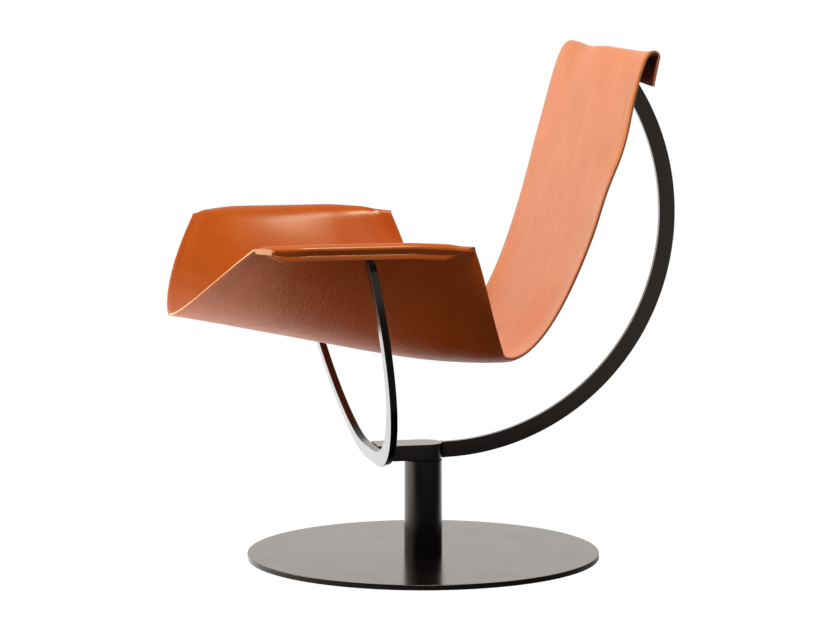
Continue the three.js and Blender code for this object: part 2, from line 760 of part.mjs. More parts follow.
function makeFlapScrews() {
  const leatherFace = crossbarAxis.y + backWrapRadius + leatherThickness / 2 + fitGap;
  const washerFace = leatherFace + flapWasherThickness;
  flapScrewPlaces().forEach(([label, x]) => {
    const washer = ring(flapScrewRadius + fitGap, flapWasherRadius, 0, flapWasherThickness, smallFacets + 8);
    named(`flap_washer_${label}`, washer.rotateX(-Math.PI / 2), blackSteel, seat)
      .position.set(x, leatherFace, crossbarAxis.z);

    const length = washerFace - crossbarAxis.y;
    const headTop = flapScrewHeadHeight + fitGap;
    const screw = revolve([
      [0, -length],
      [flapScrewRadius, -length],
      [flapScrewRadius, fitGap],
      [flapScrewHeadRadius, fitGap],
      [flapScrewHeadRadius, headTop - 1],
      [flapScrewHeadRadius - 1.5, headTop],
      [0, headTop],
    ], smallFacets + 8);
    const socket = rod(flapScrewSocketRadius, flapScrewHeadHeight, 6).translate(0, 0, headTop - 1.5);
    named(`flap_screw_${label}`, cut(screw, socket).rotateX(-Math.PI / 2), blackSteel, seat)
      .position.set(x, washerFace, crossbarAxis.z);
  });
}

makeFloorPlate();
makeColumn();
makeSwivelBearing();
makeHub();
makeFrontHoop();
makeArmRods();
makeRearArc();
makeCrossbar();
makeLeatherSling();
makeFlapScrews();

export default chair;
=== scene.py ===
# Looks of a leather sling lounge chair on a swivelling steel column.
# Lengths are in millimetres until a mesh is made. +Z is up, the chair faces -Y and +X is the sitter's left.

import math

import bpy
from mathutils import Matrix, Vector


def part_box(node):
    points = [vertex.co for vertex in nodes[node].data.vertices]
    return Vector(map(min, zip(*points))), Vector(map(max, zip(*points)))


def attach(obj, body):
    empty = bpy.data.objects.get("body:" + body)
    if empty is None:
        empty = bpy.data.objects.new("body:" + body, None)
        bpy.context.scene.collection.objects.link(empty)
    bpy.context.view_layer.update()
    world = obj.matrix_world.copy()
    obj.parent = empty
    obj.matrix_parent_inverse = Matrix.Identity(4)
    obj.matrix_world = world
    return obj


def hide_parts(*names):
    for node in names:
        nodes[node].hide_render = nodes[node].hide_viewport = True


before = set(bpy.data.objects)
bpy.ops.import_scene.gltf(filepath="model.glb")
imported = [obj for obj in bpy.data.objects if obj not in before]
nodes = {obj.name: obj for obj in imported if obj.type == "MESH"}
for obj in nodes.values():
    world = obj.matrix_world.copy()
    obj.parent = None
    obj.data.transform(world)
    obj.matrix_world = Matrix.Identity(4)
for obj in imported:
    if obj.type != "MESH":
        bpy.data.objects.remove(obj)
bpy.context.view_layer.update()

MM = 0.001

# Camera of the photograph. Its reach is in metres
CAMERA_REACH = 200
IMAGE_WIDTH = 840
FOCAL_PIXELS = 3542.5
SENSOR_WIDTH = 36
CAMERA_YAW = math.radians(77.678)
CAMERA_PITCH = math.radians(6.895)
CAMERA_DISTANCE = 6002.2
TARGET_SHIFT = -5.459
TARGET_HEIGHT = 415.79

# Floor plate and column
PLATE_ROUNDING = 1.2
COLUMN_ROUNDING = 1.0
COLUMN_WALL = 5

# Flat bar of the front hoop and the rear arc
BAR_WIDTH = 27
BAR_THICKNESS = 12
BAR_ROUNDING = 1.1

# Front hoop
HOOP_RADIUS = 368
HOOP_FLAT_HALF_LENGTH = 40
HOOP_FLAT_INSET = 7.5
HOOP_LEAN = math.radians(11.9)
HOOP_DROP = 3.9
TONGUE_WIDTH = 7
SHOULDER_HEIGHT = 550.3
SHOULDER_HALF_WIDTHS = (7.5, 10.5)

# Rear arc
ARC_RADIUS = 409.6
ARC_SPRING_Y = 30.6
ARC_TIP_ANGLE = math.radians(42.69)
ARC_TIP_TAPER = math.radians(2.2)
ARC_TIP_WIDTH = 15
ARC_ROOT_FLARE = 4
ARC_ROOT_LENGTH = 10
ARC_ROOT_SINK = 0.5

# Hub
HUB_REACH = 81.6
HUB_CORNER_RADIUS = 8
HUB_ROUNDING = 1.0
HUB_SEAM = 0.3

# Arm rods and crossbar inside the leather
ROD_RADIUS = 5
ROD_LENGTH = 160
ROD_MIDDLE_Y = -180
ROD_HEIGHT = 566.5
CROSSBAR_RADIUS = 6
CROSSBAR_INSET = 6.35

# Leather sling
LEATHER = 4
LEATHER_GAP = 0.7
SLEEVE_GAP = 0.1
CUT_EDGE_ROUNDING = 0.35
LIP = (-434, 428)
SEAT_REAR = (99, 352)
LIP_PULL = (278, -44)
SEAT_REAR_PULL = (-178, -9)
NOTCH_SHARE = 0.676
WALL_BULGE_FRONT = 5.5
WALL_BULGE_REAR = 8
# The two shapes of bulge peak at 1/4 and 4/27, and these scales bring both peaks to 1
BULGE_SCALE_FRONT = 4
BULGE_SCALE_REAR = 6.75
ARM_FRONT_Y = -345
ARM_REAR_Y = 13
ARM_FRONT_CURL = 38
WALL_FRONT_CURL = 64
WALL_CURL_START_Y = -130
CURL_TOP_POWER = 4
ARM_REAR_CURL = 27
ARM_FRONT_DROP = 5.2
ARM_REAR_DROP = 8.7
ARM_DROP_POWER = 1.2
WALL_ANGLE_FRONT = math.radians(30)
WALL_ANGLE_REAR = math.radians(76)
WALL_ANGLE_POWER = 0.75
PINCHED_WRAP_RADIUS = 3.2
SHOULDER_RADIUS_FRONT = 62
SHOULDER_RADIUS_REAR = 20
SHOULDER_END_ANGLE = math.radians(10)
RIDGE_CENTRE = (7.2, 1.8)
RIDGE_RADIUS = 2.5
RIDGE_START_ANGLE = math.radians(73)
RIDGE_END_ANGLE = math.radians(-72)
VALLEY = (4.2, -5.8)
HEM_BULGE = (7.2, -11.4)
HEM_END = (6.8, -16.0)
VALLEY_PULL = 1.8
HEM_BULGE_PULL = 2.6
HEM_END_PULL = 1.8
HEM_END_SHARE = 0.7
FRONT_PRESS = (0.72, 0.97)
REAR_PRESS = (0.55, 0.97)
FRONT_HEM_PRESS = (0.42, 0.97)
REAR_HEM_PRESS = (0.45, 1.15)
FRONT_FLANGE = 40
FRONT_FLANGE_TILT = math.radians(1)
FRONT_FLAP = 33
FRONT_CUT_BACK = 24
REAR_FLANGE = 15
REAR_FLAP = 10
REAR_FLANGE_TILT = math.radians(-8)
REAR_CUT_BACK = -14
FLANGE_BEND_RADIUS = 5
FLANGE_FOLD_RADIUS = 1.8
BACK_HALF_WIDTH = 276
BACK_FLARE = 71
BACK_FLARE_START = 0.42
BACK_TOP_HALF_WIDTH = 264
BROW_SHIFT = (-31, -52)
BACK_LEAN = (0.27, 0.963)
BACK_START_PULL = (86, 5)
BACK_END_PULL = 180
BROW_PULL = 37
CREST_PULL = 14
FLAP_LENGTH = 47
FLAP_MIDDLE_LENGTH = 39
FLAP_CORNER_START = 0.6
FLAP_CORNER_POWER = 1.5
CREST_EFFECT_START = 0.6
CREST_SLACK = 1.7
CREST_DIP = -4.9
CREST_DIP_SHARE = -0.52
CREST_DIP_WIDTH = 0.26
CREST_CORNER_LIFT = 5
CREST_CORNER_START = 0.4
CREST_CORNER_POWER = 3
FLAP_END_ANGLE = math.radians(-10)
# Ripples of the back's edge on the sitter's left, each as height, spread and shift
EDGE_RIPPLES = ((640, 50, -3.2), (718, 45, 2.4), (805, 45, -2.0))
RIPPLE_POWER = 4
FLAP_SLOT_HALF_WIDTH = 8

# Shading and shader sockets
SHARP_ANGLE = math.radians(50)
FLOAT = "NodeSocketFloat"
COLOUR = "NodeSocketColor"

# Leather grain, and where the colour turns paler up the back, a painted sheen
STREAK_SCALE = (85, 7, 7)
LEATHER_CLOUD_SCALE = 11
PORE_SCALE = 1500
PORE_SHARE = 0.35
BACK_SHEEN_START = 10
BACK_SHEEN_END = 170
PLAIN = (1, 1, 1, 1)

# Floor and room
FLOOR_HALF_SIZE = 60000
FLOOR_COLOUR = (0.05, 0.05, 0.05, 1)
FLOOR_ROUGHNESS = 0.9
FLOOR_SEEN = 1.0
FLOOR_LIT_WAY = (-0.9, -0.28, 0)
FLOOR_LIT_SPAN = (-0.32, 0.36)
FLOOR_LIT = 1.86
FLOOR_DARK = 0.05
FLOOR_FAR_SPAN = (-1.0, -2.1)
FLOOR_FAR = 0.5
ROOM_COLOUR = (1, 0.965, 0.925, 1)
ROOM_SEEN = 1.0
ROOM_LIT_WAY = (-0.85, -0.5, 0)
ROOM_LIT_SPAN = (-0.1, 0.7)
ROOM_LIT = 1.16
ROOM_DARK = 0.1
CEILING_SPAN = (0.15, 0.6)
CEILING_SHARE = 0.4

# Soft lights, in metres and watts
FRONT_LIGHT_AZIMUTH = math.radians(-20)
FRONT_LIGHT_ELEVATION = math.radians(30)
FRONT_LIGHT_DISTANCE = 3.2
FRONT_LIGHT_SIZE = (1.8, 1.8)
FRONT_LIGHT_POWER = 40
TOP_LIGHT_PLACE = (1.3, -0.15, 3.3)
TOP_LIGHT_TIP = math.radians(22)
TOP_LIGHT_SIZE = (0.9, 1.5)
TOP_LIGHT_POWER = 94

# Mesh counts
ROUND_STEPS = 128
PLATE_STEPS = 256
CORNER_STEPS = 4
HOOP_CIRCLE_STEPS = 64
HOOP_BLEND_STEPS = 24
ARC_ROOT_STEPS = 8
ARC_STEPS = 110
NOTCH_STEPS = 17
WING_STEPS = 24
WRAP_STEPS = 18
HEM_STEPS = 5
PINCH_ROWS = 20
RAW_HEM_ROWS = 6
SLEEVE_ROWS = 20
BACK_ROWS = 48
BROW_ROWS = 14
FOLD_ROWS = 12
FLAP_ROWS = 8


def mix(start, end, share):
    return start + (end - start) * share


def clamp(value):
    return min(1, max(0, value))


def ease(value, start, end):
    """A smooth climb from 0 at the start to 1 at the end."""
    share = clamp((value - start) / (end - start))
    return share * share * (3 - 2 * share)


def even_points(line, steps):
    """Evenly spaced points along a line of points, without its first one."""
    reached = [0]
    for start, end in zip(line, line[1:]):
        reached.append(reached[-1] + (end - start).length)
    spaced = []
    place = 0
    for step in range(1, steps + 1):
        wanted = reached[-1] * step / steps
        while place < len(line) - 2 and reached[place + 1] < wanted:
            place += 1
        share = (wanted - reached[place]) / (reached[place + 1] - reached[place])
        spaced.append(mix(line[place], line[place + 1], share))
    return spaced


def box_mm(node_name):
    low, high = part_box(node_name)
    return Vector(low) / MM, Vector(high) / MM


# Shader nodes
def add_node(tree, kind, inputs=None, **settings):
    made = tree.nodes.new(kind)
    for name, value in settings.items():
        setattr(made, name, value)
    for name, value in (inputs or {}).items():
        made.inputs[name].default_value = value
    return made


def start_group(name, inputs, outputs):
    tree = bpy.data.node_groups.new(name, "ShaderNodeTree")
    for label, kind in inputs:
        tree.interface.new_socket(label, in_out="INPUT", socket_type=kind)
    for label, kind in outputs:
        tree.interface.new_socket(label, in_out="OUTPUT", socket_type=kind)
    return tree, tree.nodes.new("NodeGroupInput"), tree.nodes.new("NodeGroupOutput")


def make_mottle_group():
    """Cloudy changes of colour and gloss, and a fine roughness of the surface."""
    tree, given, result = start_group(
        "surface_mottle",
        [("Colour", COLOUR), ("Cloud Colour", COLOUR), ("Cloud Scale", FLOAT), ("Grain Scale", FLOAT),
         ("Roughness Low", FLOAT), ("Roughness High", FLOAT)],
        [("Colour", COLOUR), ("Roughness", FLOAT), ("Height", FLOAT)],
    )
    link = tree.links.new
    place = add_node(tree, "ShaderNodeTexCoord")
    cloud = add_node(tree, "ShaderNodeTexNoise", {"Detail": 4, "Roughness": 0.6})
    grain = add_node(tree, "ShaderNodeTexNoise", {"Detail": 2, "Roughness": 0.5})
    spread = add_node(tree, "ShaderNodeMapRange", {"From Min": 0.3, "From Max": 0.7})
    tint = add_node(tree, "ShaderNodeMix", data_type="RGBA")
    gloss = add_node(tree, "ShaderNodeMapRange")
    for texture, scale in ((cloud, "Cloud Scale"), (grain, "Grain Scale")):
        link(place.outputs["Object"], texture.inputs["Vector"])
        link(given.outputs[scale], texture.inputs["Scale"])
    link(cloud.outputs["Fac"], spread.inputs["Value"])
    link(spread.outputs["Result"], tint.inputs["Factor"])
    link(given.outputs["Colour"], tint.inputs["A"])
    link(given.outputs["Cloud Colour"], tint.inputs["B"])
    link(spread.outputs["Result"], gloss.inputs["Value"])
    link(given.outputs["Roughness Low"], gloss.inputs["To Min"])
    link(given.outputs["Roughness High"], gloss.inputs["To Max"])
    link(tint.outputs["Result"], result.inputs["Colour"])
    link(gloss.outputs["Result"], result.inputs["Roughness"])
    link(grain.outputs["Fac"], result.inputs["Height"])
    return tree


def make_leather_group():
    """Pebbled grain, faint lengthwise streaks and cloudy colour of leather.

    Up the back the colour is multiplied by a paler, yellower tint, a painted sheen, and the wax of the arms
    fades out on it.
    """
    tree, given, result = start_group(
        "leather_grain",
        [("Colour", COLOUR), ("Deep Colour", COLOUR), ("Pebble Scale", FLOAT), ("Pebble Share", FLOAT),
         ("Streak Share", FLOAT), ("Cloud Share", FLOAT), ("Roughness Low", FLOAT), ("Roughness High", FLOAT),
         ("Back Painted Sheen", COLOUR), ("Wax", FLOAT)],
        [("Colour", COLOUR), ("Roughness", FLOAT), ("Height", FLOAT), ("Wax", FLOAT)],
    )
    link = tree.links.new
    place = add_node(tree, "ShaderNodeTexCoord")
    split = add_node(tree, "ShaderNodeSeparateXYZ")
    on_back = add_node(tree, "ShaderNodeMapRange",
                       {"From Min": BACK_SHEEN_START * MM, "From Max": BACK_SHEEN_END * MM},
                       interpolation_type="SMOOTHSTEP")
    # Painted sheen: the colour is made paler and yellower up the back
    back_sheen = add_node(tree, "ShaderNodeMix", data_type="RGBA", blend_type="MULTIPLY")
    wax = add_node(tree, "ShaderNodeMix", {"B": 0}, data_type="FLOAT")
    stretch = add_node(tree, "ShaderNodeMapping", {"Scale": STREAK_SCALE})
    streak = add_node(tree, "ShaderNodeTexNoise", {"Scale": 1, "Detail": 3, "Roughness": 0.55})
    cloud = add_node(tree, "ShaderNodeTexNoise",
                     {"Scale": LEATHER_CLOUD_SCALE, "Detail": 4, "Roughness": 0.6})
    pebble = add_node(tree, "ShaderNodeTexVoronoi", feature="SMOOTH_F1")
    pore = add_node(tree, "ShaderNodeTexNoise", {"Scale": PORE_SCALE, "Detail": 2, "Roughness": 0.6})
    streak_spread = add_node(tree, "ShaderNodeMapRange", {"From Min": 0.35, "From Max": 0.65})
    cloud_spread = add_node(tree, "ShaderNodeMapRange", {"From Min": 0.3, "From Max": 0.7})
    streak_part = add_node(tree, "ShaderNodeMath", operation="MULTIPLY")
    cloud_part = add_node(tree, "ShaderNodeMath", operation="MULTIPLY_ADD")
    pebble_part = add_node(tree, "ShaderNodeMath", operation="MULTIPLY_ADD")
    tint = add_node(tree, "ShaderNodeMix", data_type="RGBA")
    gloss = add_node(tree, "ShaderNodeMapRange")
    height = add_node(tree, "ShaderNodeMath", {1: PORE_SHARE}, operation="MULTIPLY_ADD")
    link(place.outputs["Object"], stretch.inputs["Vector"])
    link(stretch.outputs["Vector"], streak.inputs["Vector"])
    for texture in (cloud, pebble, pore):
        link(place.outputs["Object"], texture.inputs["Vector"])
    link(given.outputs["Pebble Scale"], pebble.inputs["Scale"])
    link(streak.outputs["Fac"], streak_spread.inputs["Value"])
    link(cloud.outputs["Fac"], cloud_spread.inputs["Value"])
    link(streak_spread.outputs["Result"], streak_part.inputs[0])
    link(given.outputs["Streak Share"], streak_part.inputs[1])
    link(cloud_spread.outputs["Result"], cloud_part.inputs[0])
    link(given.outputs["Cloud Share"], cloud_part.inputs[1])
    link(streak_part.outputs["Value"], cloud_part.inputs[2])
    link(pebble.outputs["Distance"], pebble_part.inputs[0])
    link(given.outputs["Pebble Share"], pebble_part.inputs[1])
    link(cloud_part.outputs["Value"], pebble_part.inputs[2])
    link(pebble_part.outputs["Value"], tint.inputs["Factor"])
    link(given.outputs["Colour"], tint.inputs["A"])
    link(given.outputs["Deep Colour"], tint.inputs["B"])
    link(pebble_part.outputs["Value"], gloss.inputs["Value"])
    link(given.outputs["Roughness Low"], gloss.inputs["To Min"])
    link(given.outputs["Roughness High"], gloss.inputs["To Max"])
    link(pore.outputs["Fac"], height.inputs[0])
    link(pebble.outputs["Distance"], height.inputs[2])
    link(place.outputs["Object"], split.inputs["Vector"])
    link(split.outputs["Y"], on_back.inputs["Value"])
    for blend in (back_sheen, wax):
        link(on_back.outputs["Result"], blend.inputs["Factor"])
    link(given.outputs["Wax"], wax.inputs["A"])
    link(tint.outputs["Result"], back_sheen.inputs["A"])
    link(given.outputs["Back Painted Sheen"], back_sheen.inputs["B"])
    link(back_sheen.outputs["Result"], result.inputs["Colour"])
    link(gloss.outputs["Result"], result.inputs["Roughness"])
    link(height.outputs["Value"], result.inputs["Height"])
    link(wax.outputs["Result"], result.inputs["Wax"])
    return tree


def make_finish(name, group, group_values, shader_values, bump_distance):
    """A material whose colour, gloss and relief come from one of the shared groups."""
    material = bpy.data.materials.new(name)
    material.use_nodes = True
    tree = material.node_tree
    tree.nodes.clear()
    output = tree.nodes.new("ShaderNodeOutputMaterial")
    shader = add_node(tree, "ShaderNodeBsdfPrincipled", shader_values)
    surface = tree.nodes.new("ShaderNodeGroup")
    surface.node_tree = group
    for label, value in group_values.items():
        surface.inputs[label].default_value = value
    bump = add_node(tree, "ShaderNodeBump", {"Strength": 1, "Distance": bump_distance * MM})
    link = tree.links.new
    link(surface.outputs["Colour"], shader.inputs["Base Color"])
    link(surface.outputs["Roughness"], shader.inputs["Roughness"])
    link(surface.outputs["Height"], bump.inputs["Height"])
    link(bump.outputs["Normal"], shader.inputs["Normal"])
    if "Wax" in group_values:
        link(surface.outputs["Wax"], shader.inputs["Coat Weight"])
    link(shader.outputs["BSDF"], output.inputs["Surface"])
    return material


mottle = make_mottle_group()
leather_grain = make_leather_group()

black_paint = make_finish(
    "black_satin_paint", mottle,
    {"Colour": (0.0025, 0.0022, 0.002, 1), "Cloud Colour": (0.004, 0.0034, 0.003, 1), "Cloud Scale": 14,
     "Grain Scale": 900, "Roughness Low": 0.17, "Roughness High": 0.21},
    {"Metallic": 0, "IOR": 1.56, "Specular Tint": (1, 0.87, 0.78, 1)}, 0.012,
)
bare_steel = make_finish(
    "turned_steel", mottle,
    {"Colour": (0.42, 0.43, 0.44, 1), "Cloud Colour": (0.32, 0.33, 0.34, 1), "Cloud Scale": 160,
     "Grain Scale": 2600, "Roughness Low": 0.3, "Roughness High": 0.42},
    {"Metallic": 1}, 0.02,
)
black_plastic = make_finish(
    "bearing_plastic", mottle,
    {"Colour": (0.013, 0.013, 0.014, 1), "Cloud Colour": (0.02, 0.02, 0.021, 1), "Cloud Scale": 60,
     "Grain Scale": 1800, "Roughness Low": 0.5, "Roughness High": 0.62},
    {"Metallic": 0, "IOR": 1.46}, 0.03,
)
floor_felt = make_finish(
    "dark_felt", mottle,
    {"Colour": (0.022, 0.02, 0.018, 1), "Cloud Colour": (0.04, 0.037, 0.033, 1), "Cloud Scale": 900,
     "Grain Scale": 2400, "Roughness Low": 0.9, "Roughness High": 1.0},
    {"Metallic": 0}, 0.3,
)
# The back tint of the inner face is a painted sheen.
inner_leather = make_finish(
    "leather_inner_face", leather_grain,
    {"Colour": (0.57, 0.108, 0.005, 1), "Deep Colour": (0.44, 0.07, 0.002, 1), "Pebble Scale": 620,
     "Pebble Share": 0.2, "Streak Share": 0.28, "Cloud Share": 0.4,
     "Roughness Low": 0.28, "Roughness High": 0.36, "Back Painted Sheen": (1.13, 1.38, 1.0, 1), "Wax": 0.5},
    {"Metallic": 0, "IOR": 1.46, "Specular Tint": (1, 0.92, 0.48, 1), "Coat Roughness": 0.3}, 0.07,
)
outer_leather = make_finish(
    "leather_outer_face", leather_grain,
    {"Colour": (0.58, 0.083, 0.004, 1), "Deep Colour": (0.42, 0.051, 0.002, 1), "Pebble Scale": 300,
     "Pebble Share": 0.5, "Streak Share": 0.08, "Cloud Share": 0.3,
     "Roughness Low": 0.42, "Roughness High": 0.56, "Back Painted Sheen": PLAIN},
    {"Metallic": 0, "IOR": 1.5, "Specular Tint": (1, 0.9, 0.4, 1)}, 0.8,
)
raw_edge = make_finish(
    "leather_raw_edge", leather_grain,
    {"Colour": (1.0, 0.57, 0.28, 1), "Deep Colour": (0.9, 0.42, 0.17, 1), "Pebble Scale": 1500,
     "Pebble Share": 0.2, "Streak Share": 0.3, "Cloud Share": 0.3,
     "Roughness Low": 0.7, "Roughness High": 0.85, "Back Painted Sheen": PLAIN},
    {"Metallic": 0}, 0.1,
)
# Dark cut edges: a burnished edge, and painted shade where the far front edge takes it in place of the light
# raw finish.
burnished_edge_and_shade = make_finish(
    "leather_burnished_edge_and_shade", leather_grain,
    {"Colour": (0.48, 0.15, 0.045, 1), "Deep Colour": (0.3, 0.08, 0.022, 1), "Pebble Scale": 1500,
     "Pebble Share": 0.2, "Streak Share": 0.3, "Cloud Share": 0.3,
     "Roughness Low": 0.45, "Roughness High": 0.6, "Back Painted Sheen": PLAIN},
    {"Metallic": 0}, 0.1,
)
# Painted shade: a dark leather for the inside of the top fold, darker than the leather's own colour there.
painted_shade_leather = make_finish(
    "leather_inside_fold_painted_shade", leather_grain,
    {"Colour": (0.13, 0.022, 0.004, 1), "Deep Colour": (0.08, 0.011, 0.002, 1), "Pebble Scale": 300,
     "Pebble Share": 0.3, "Streak Share": 0.1, "Cloud Share": 0.3,
     "Roughness Low": 0.6, "Roughness High": 0.75, "Back Painted Sheen": PLAIN},
    {"Metallic": 0, "IOR": 1.46, "Specular IOR Level": 0.3}, 0.5,
)


# Meshes
def make_piece(name, points, faces, body, materials, face_slots=None, even_shading=True):
    mesh = bpy.data.meshes.new(name)
    mesh.from_pydata([Vector(point) * MM for point in points], [], faces)
    for material in materials:
        mesh.materials.append(material)
    if face_slots:
        mesh.polygons.foreach_set("material_index", face_slots)
    mesh.shade_smooth()
    mesh.set_sharp_from_angle(angle=SHARP_ANGLE)
    piece = bpy.data.objects.new(name, mesh)
    bpy.context.scene.collection.objects.link(piece)
    if even_shading:
        weighted = piece.modifiers.new("even_shading", "WEIGHTED_NORMAL")
        weighted.weight = 100
        weighted.keep_sharp = True
    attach(piece, body)
    return piece


def rounded_corner(centre, radius, start, end, steps=CORNER_STEPS):
    """Points of an arc about a centre, from one angle to another, both in degrees."""
    angles = [math.radians(mix(start, end, step / steps)) for step in range(steps + 1)]
    return [(centre[0] + radius * math.cos(angle), centre[1] + radius * math.sin(angle)) for angle in angles]


def lathe(profile, steps):
    """A closed solid of revolution about Z. The profile runs counter-clockwise in (radius, height)."""
    points = []
    faces = []
    rings = []
    for radius, height in profile:
        if radius == 0:
            rings.append([len(points)] * steps)
            points.append((0, 0, height))
            continue
        rings.append([len(points) + step for step in range(steps)])
        for step in range(steps):
            turn = 2 * math.pi * step / steps
            points.append((radius * math.cos(turn), radius * math.sin(turn), height))
    closed = profile[0][0] > 0
    pairs = list(zip(rings, rings[1:] + rings[:1])) if closed else list(zip(rings, rings[1:]))
    for lower, upper in pairs:
        for step in range(steps):
            after = (step + 1) % steps
            corners = [lower[step], lower[after], upper[after], upper[step]]
            faces.append(list(dict.fromkeys(corners)))
    return points, faces


def bar_section(half_width, half_depth, rounding):
    """A rectangle with rounded corners, counter-clockwise."""
    corners = []
    for across, deep, start in ((1, 1, 0), (-1, 1, 90), (-1, -1, 180), (1, -1, 270)):
        centre = (across * (half_width - rounding), deep * (half_depth - rounding))
        corners += rounded_corner(centre, rounding, start, start + 90)
    return corners


def capped_rings(rings, count):
    """Faces of a closed body of rings, each with the same count of points, with a cap at both ends."""
    faces = []
    for ring in range(rings - 1):
        for step in range(count):
            after = (step + 1) % count
            faces.append([ring * count + step, ring * count + after,
                          (ring + 1) * count + after, (ring + 1) * count + step])
    faces.append(list(reversed(range(count))))
    faces.append([(rings - 1) * count + step for step in range(count)])
    return faces


def sweep(stations):
    """A closed bar through stations of (middle, outward, sideways, half width, half depth)."""
    points = []
    for middle, outward, sideways, half_width, half_depth in stations:
        for across, deep in bar_section(half_width, half_depth, BAR_ROUNDING):
            points.append(middle + outward * across + sideways * deep)
    return points, capped_rings(len(stations), len(points) // len(stations))


def bezier(start, start_pull, end_pull, end, share):
    """A point of a plane cubic curve and its direction."""
    back = 1 - share
    a, b, c, d = Vector(start), Vector(start_pull), Vector(end_pull), Vector(end)
    point = a * back ** 3 + b * 3 * back ** 2 * share + c * 3 * back * share ** 2 + d * share ** 3
    slope = (b - a) * back ** 2 + (c - b) * 2 * back * share + (d - c) * share ** 2
    return point, slope.normalized()


# Floor plate, column and hub
plate_low, plate_high = box_mm("base_plate")
column_low, column_high = box_mm("column_tube")
hub_low, hub_high = box_mm("hub")
column_radius = column_high.x
hub_middle = (hub_low.z + hub_high.z) / 2


def make_floor_plate():
    edge = plate_high.x - PLATE_ROUNDING
    profile = [(0, plate_low.z)]
    profile += rounded_corner((edge, plate_low.z + PLATE_ROUNDING), PLATE_ROUNDING, -90, 0)
    profile += rounded_corner((edge, plate_high.z - PLATE_ROUNDING), PLATE_ROUNDING, 0, 90)
    profile.append((0, plate_high.z))
    piece = make_piece("round_floor_plate", *lathe(profile, PLATE_STEPS), "base", [black_paint])
    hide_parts("base_plate")


def make_column():
    outer = column_radius - COLUMN_ROUNDING
    top = column_high.z - COLUMN_ROUNDING
    profile = [(column_radius - COLUMN_WALL, column_low.z), (column_radius, column_low.z)]
    profile += rounded_corner((outer, top), COLUMN_ROUNDING, 0, 90)
    profile.append((column_radius - COLUMN_WALL, column_high.z))
    piece = make_piece("swivel_column", *lathe(profile, ROUND_STEPS), "base", [black_paint])
    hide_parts("column_tube")


def hub_outline(inset, height):
    """The hub's outline at one height, cut off by the slanted back face of the hoop."""
    radius = column_radius - inset
    corner_x = column_radius - HUB_CORNER_RADIUS
    corner_y = -HUB_REACH + HUB_CORNER_RADIUS / 2
    corner = HUB_CORNER_RADIUS - inset
    outline = rounded_corner((0, 0), radius, 0, 180, ROUND_STEPS // 2)
    outline += rounded_corner((-corner_x, corner_y), corner, 180, 270, 4 * CORNER_STEPS)
    outline += rounded_corner((corner_x, corner_y), corner, 270, 360, 4 * CORNER_STEPS)
    front = -HUB_REACH - (height - hub_middle) * math.tan(HOOP_LEAN) + HUB_SEAM
    return [(x, max(y, front), height) for x, y in outline]


def make_hub():
    levels = [(HUB_ROUNDING - radius, height)
              for radius, height in rounded_corner((0, hub_low.z + HUB_ROUNDING), HUB_ROUNDING, -90, 0)]
    levels += [(HUB_ROUNDING - radius, height)
               for radius, height in rounded_corner((0, hub_high.z - HUB_ROUNDING), HUB_ROUNDING, 0, 90)]
    points = []
    for inset, height in levels:
        points += hub_outline(inset, height)
    faces = capped_rings(len(levels), len(points) // len(levels))
    piece = make_piece("swivel_hub", points, faces, "seat", [black_paint])
    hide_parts("hub")


# Front hoop and rear arc
hoop_centre_z = hub_low.z - HOOP_DROP + (HOOP_RADIUS - HOOP_FLAT_INSET) * math.cos(HOOP_LEAN)
hoop_face_at_hub = -HUB_REACH - BAR_THICKNESS / math.cos(HOOP_LEAN)
hoop_centre_y = hoop_face_at_hub - (hoop_centre_z - hub_middle) * math.tan(HOOP_LEAN)
hoop_frame = Matrix.Translation((0, hoop_centre_y, hoop_centre_z)) @ Matrix.Rotation(HOOP_LEAN, 4, "X")
arc_centre = Vector((0, ARC_SPRING_Y, hub_low.z + ARC_RADIUS))
rod_x = HOOP_RADIUS - BAR_WIDTH / 2


def hoop_arcs(end):
    """The hoop's outer edge: a circle, two arcs that run into a flat at the bottom, and the circle again."""
    flat_depth = HOOP_RADIUS - HOOP_FLAT_INSET
    square = HOOP_RADIUS ** 2 - flat_depth ** 2 - HOOP_FLAT_HALF_LENGTH ** 2
    blend_radius = square / (2 * HOOP_FLAT_INSET)
    blend_z = blend_radius - flat_depth
    turn = math.atan2(HOOP_FLAT_HALF_LENGTH, -blend_z)
    bottom = 1.5 * math.pi
    return [
        (0, 0, HOOP_RADIUS, math.pi - end, bottom - turn, HOOP_CIRCLE_STEPS),
        (-HOOP_FLAT_HALF_LENGTH, blend_z, blend_radius, bottom - turn, bottom, HOOP_BLEND_STEPS),
        (HOOP_FLAT_HALF_LENGTH, blend_z, blend_radius, bottom, bottom + turn, HOOP_BLEND_STEPS),
        (0, 0, HOOP_RADIUS, bottom + turn, 2 * math.pi + end, HOOP_CIRCLE_STEPS),
    ]


